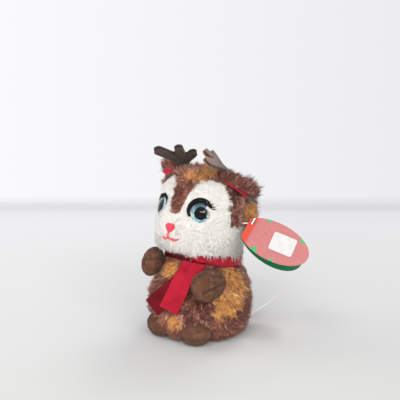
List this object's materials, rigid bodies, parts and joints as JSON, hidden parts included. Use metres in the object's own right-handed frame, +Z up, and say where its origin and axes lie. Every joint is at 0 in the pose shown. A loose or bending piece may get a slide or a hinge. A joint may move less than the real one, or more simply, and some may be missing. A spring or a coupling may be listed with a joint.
{
  "type": "plush reindeer",
  "caption": "Small seated plush reindeer with cloth antlers, clear domed eyes, a satin ribbon scarf, a folded hang tag and a sewn label.",
  "frame": {"origin": "middle of the flat seat, on the surface that the toy sits on", "axes": "+Z up, -Y the way the body and face point, +X towards the toy's own left side"},
  "size_m": [0.1316, 0.1044, 0.1475],
  "materials": {
    "brown_plush": "long shaggy pile, mottled brown and golden orange",
    "white_plush": "short white pile",
    "velboa": "very short smooth pile",
    "filling": "loose polyester fibre",
    "pouch_cloth": "plain woven pouch of pellets",
    "seat_cloth": "short brown pile",
    "satin": "crimson satin",
    "clear_plastic": "clear polished plastic dome",
    "glitter_disc": "pale blue glitter with a black pupil",
    "white_plastic": "white moulded plastic",
    "black_felt": "black felt",
    "red_thread": "stitched coral-red thread",
    "antler_cloth": "dark brown short pile with a stitched edge",
    "red_card": "coated red card",
    "green_card": "coated green card",
    "sticker": "blank white paper sticker",
    "label_satin": "pale woven label"
  },
  "bodies": {
    "body": {"body_cover": "brown_plush", "seat_panel": "seat_cloth", "body_stuffing": "filling", "pellet_pouch": "pouch_cloth", "tail": "brown_plush", "scarf_band": "satin", "scarf_knot": "satin", "foot_cover_left": "velboa", "foot_stuffing_left": "filling", "foot_cover_right": "velboa", "foot_stuffing_right": "filling"},
    "head": {"crown_cover": "brown_plush", "face_panel": "white_plush", "head_stuffing": "filling", "nose": "red_thread", "mouth": "red_thread", "tag_fastener": "white_plastic", "eye_lens_left": "clear_plastic", "eye_disc_left": "glitter_disc", "eye_washer_left": "white_plastic", "eyelid_left": "black_felt", "eye_lens_right": "clear_plastic", "eye_disc_right": "glitter_disc", "eye_washer_right": "white_plastic", "eyelid_right": "black_felt"},
    "arm_left": {"arm_cover_left": "velboa", "arm_stuffing_left": "filling"},
    "arm_right": {"arm_cover_right": "velboa", "arm_stuffing_right": "filling"},
    "ear_left": {"ear_back_left": "brown_plush", "ear_lining_left": "satin"},
    "ear_right": {"ear_back_right": "brown_plush", "ear_lining_right": "satin"},
    "antler_left": {"antler_top_left": "antler_cloth", "antler_under_left": "antler_cloth"},
    "antler_right": {"antler_top_right": "antler_cloth", "antler_under_right": "antler_cloth"},
    "ribbon_back": {"scarf_tail_back": "satin"},
    "ribbon_front": {"scarf_tail_front": "satin"},
    "tag": {"tag_front_leaf": "red_card", "tag_sticker": "sticker"},
    "tag_under": {"tag_back_leaf": "green_card"},
    "label": {"care_label": "label_satin"}
  },
  "joints": [
    {"name": "head_turn", "type": "hinge", "parent": "body", "child": "head", "pos_m": [0, 0, 0.0592], "axis": [0, 0.2588, 0.9659], "range_deg": [-10, 10], "stiffness_Nm_per_rad": 0.1},
    {"name": "arm_left_swing", "type": "hinge", "parent": "body", "child": "arm_left", "pos_m": [0.02719, -0.01842, 0.04912], "axis": [0.7763, -0.4962, 0.3888], "range_deg": [0, 45], "stiffness_Nm_per_rad": 0.02},
    {"name": "arm_right_swing", "type": "hinge", "parent": "body", "child": "arm_right", "pos_m": [-0.02719, -0.01842, 0.04912], "axis": [0.7763, 0.4962, -0.3888], "range_deg": [0, 60], "stiffness_Nm_per_rad": 0.02},
    {"name": "ear_left_fold", "type": "hinge", "parent": "head", "child": "ear_left", "pos_m": [0.02376, -0.00177, 0.119], "axis": [-0.284, 0.7749, -0.5647], "range_deg": [-25, 6], "stiffness_Nm_per_rad": 0.01},
    {"name": "ear_right_fold", "type": "hinge", "parent": "head", "child": "ear_right", "pos_m": [-0.02376, -0.00177, 0.119], "axis": [-0.284, -0.7749, 0.5647], "range_deg": [-5, 35], "stiffness_Nm_per_rad": 0.01},
    {"name": "antler_left_bend", "type": "hinge", "parent": "head", "child": "antler_left", "pos_m": [0.02251, 0.01353, 0.117], "axis": [0.8095, -0.5325, -0.2474], "range_deg": [-12, 2], "stiffness_Nm_per_rad": 0.02},
    {"name": "antler_right_bend", "type": "hinge", "parent": "head", "child": "antler_right", "pos_m": [-0.02251, 0.01353, 0.117], "axis": [0.8095, 0.5325, 0.2474], "range_deg": [-12, 2], "stiffness_Nm_per_rad": 0.02},
    {"name": "ribbon_back_lift", "type": "hinge", "parent": "body", "child": "ribbon_back", "pos_m": [0.01534, -0.03146, 0.0615], "axis": [-1, 0, 0], "range_deg": [0, 30], "stiffness_Nm_per_rad": 0.005},
    {"name": "ribbon_front_lift", "type": "hinge", "parent": "ribbon_back", "child": "ribbon_front", "pos_m": [0.01534, -0.03146, 0.0615], "axis": [-1, 0, 0], "range_deg": [0, 30], "stiffness_Nm_per_rad": 0.005},
    {"name": "tag_swing", "type": "hinge", "parent": "head", "child": "tag", "pos_m": [0.04674, -0.00114, 0.09383], "axis": [0.475, -0.642, 0.6018], "range_deg": [-15, 15], "stiffness_Nm_per_rad": 0.02},
    {"name": "tag_open", "type": "hinge", "parent": "tag", "child": "tag_under", "pos_m": [0.04382, -0.0065, 0.09042], "axis": [0.072, 0.71, 0.7005], "range_deg": [-8, 14], "stiffness_Nm_per_rad": 0.02},
    {"name": "label_flap", "type": "hinge", "parent": "body", "child": "label", "pos_m": [0.02677, 0.01699, 0.0068], "axis": [0.4972, -0.7923, 0.3537], "range_deg": [-15, 30], "stiffness_Nm_per_rad": 0.005}
  ]
}
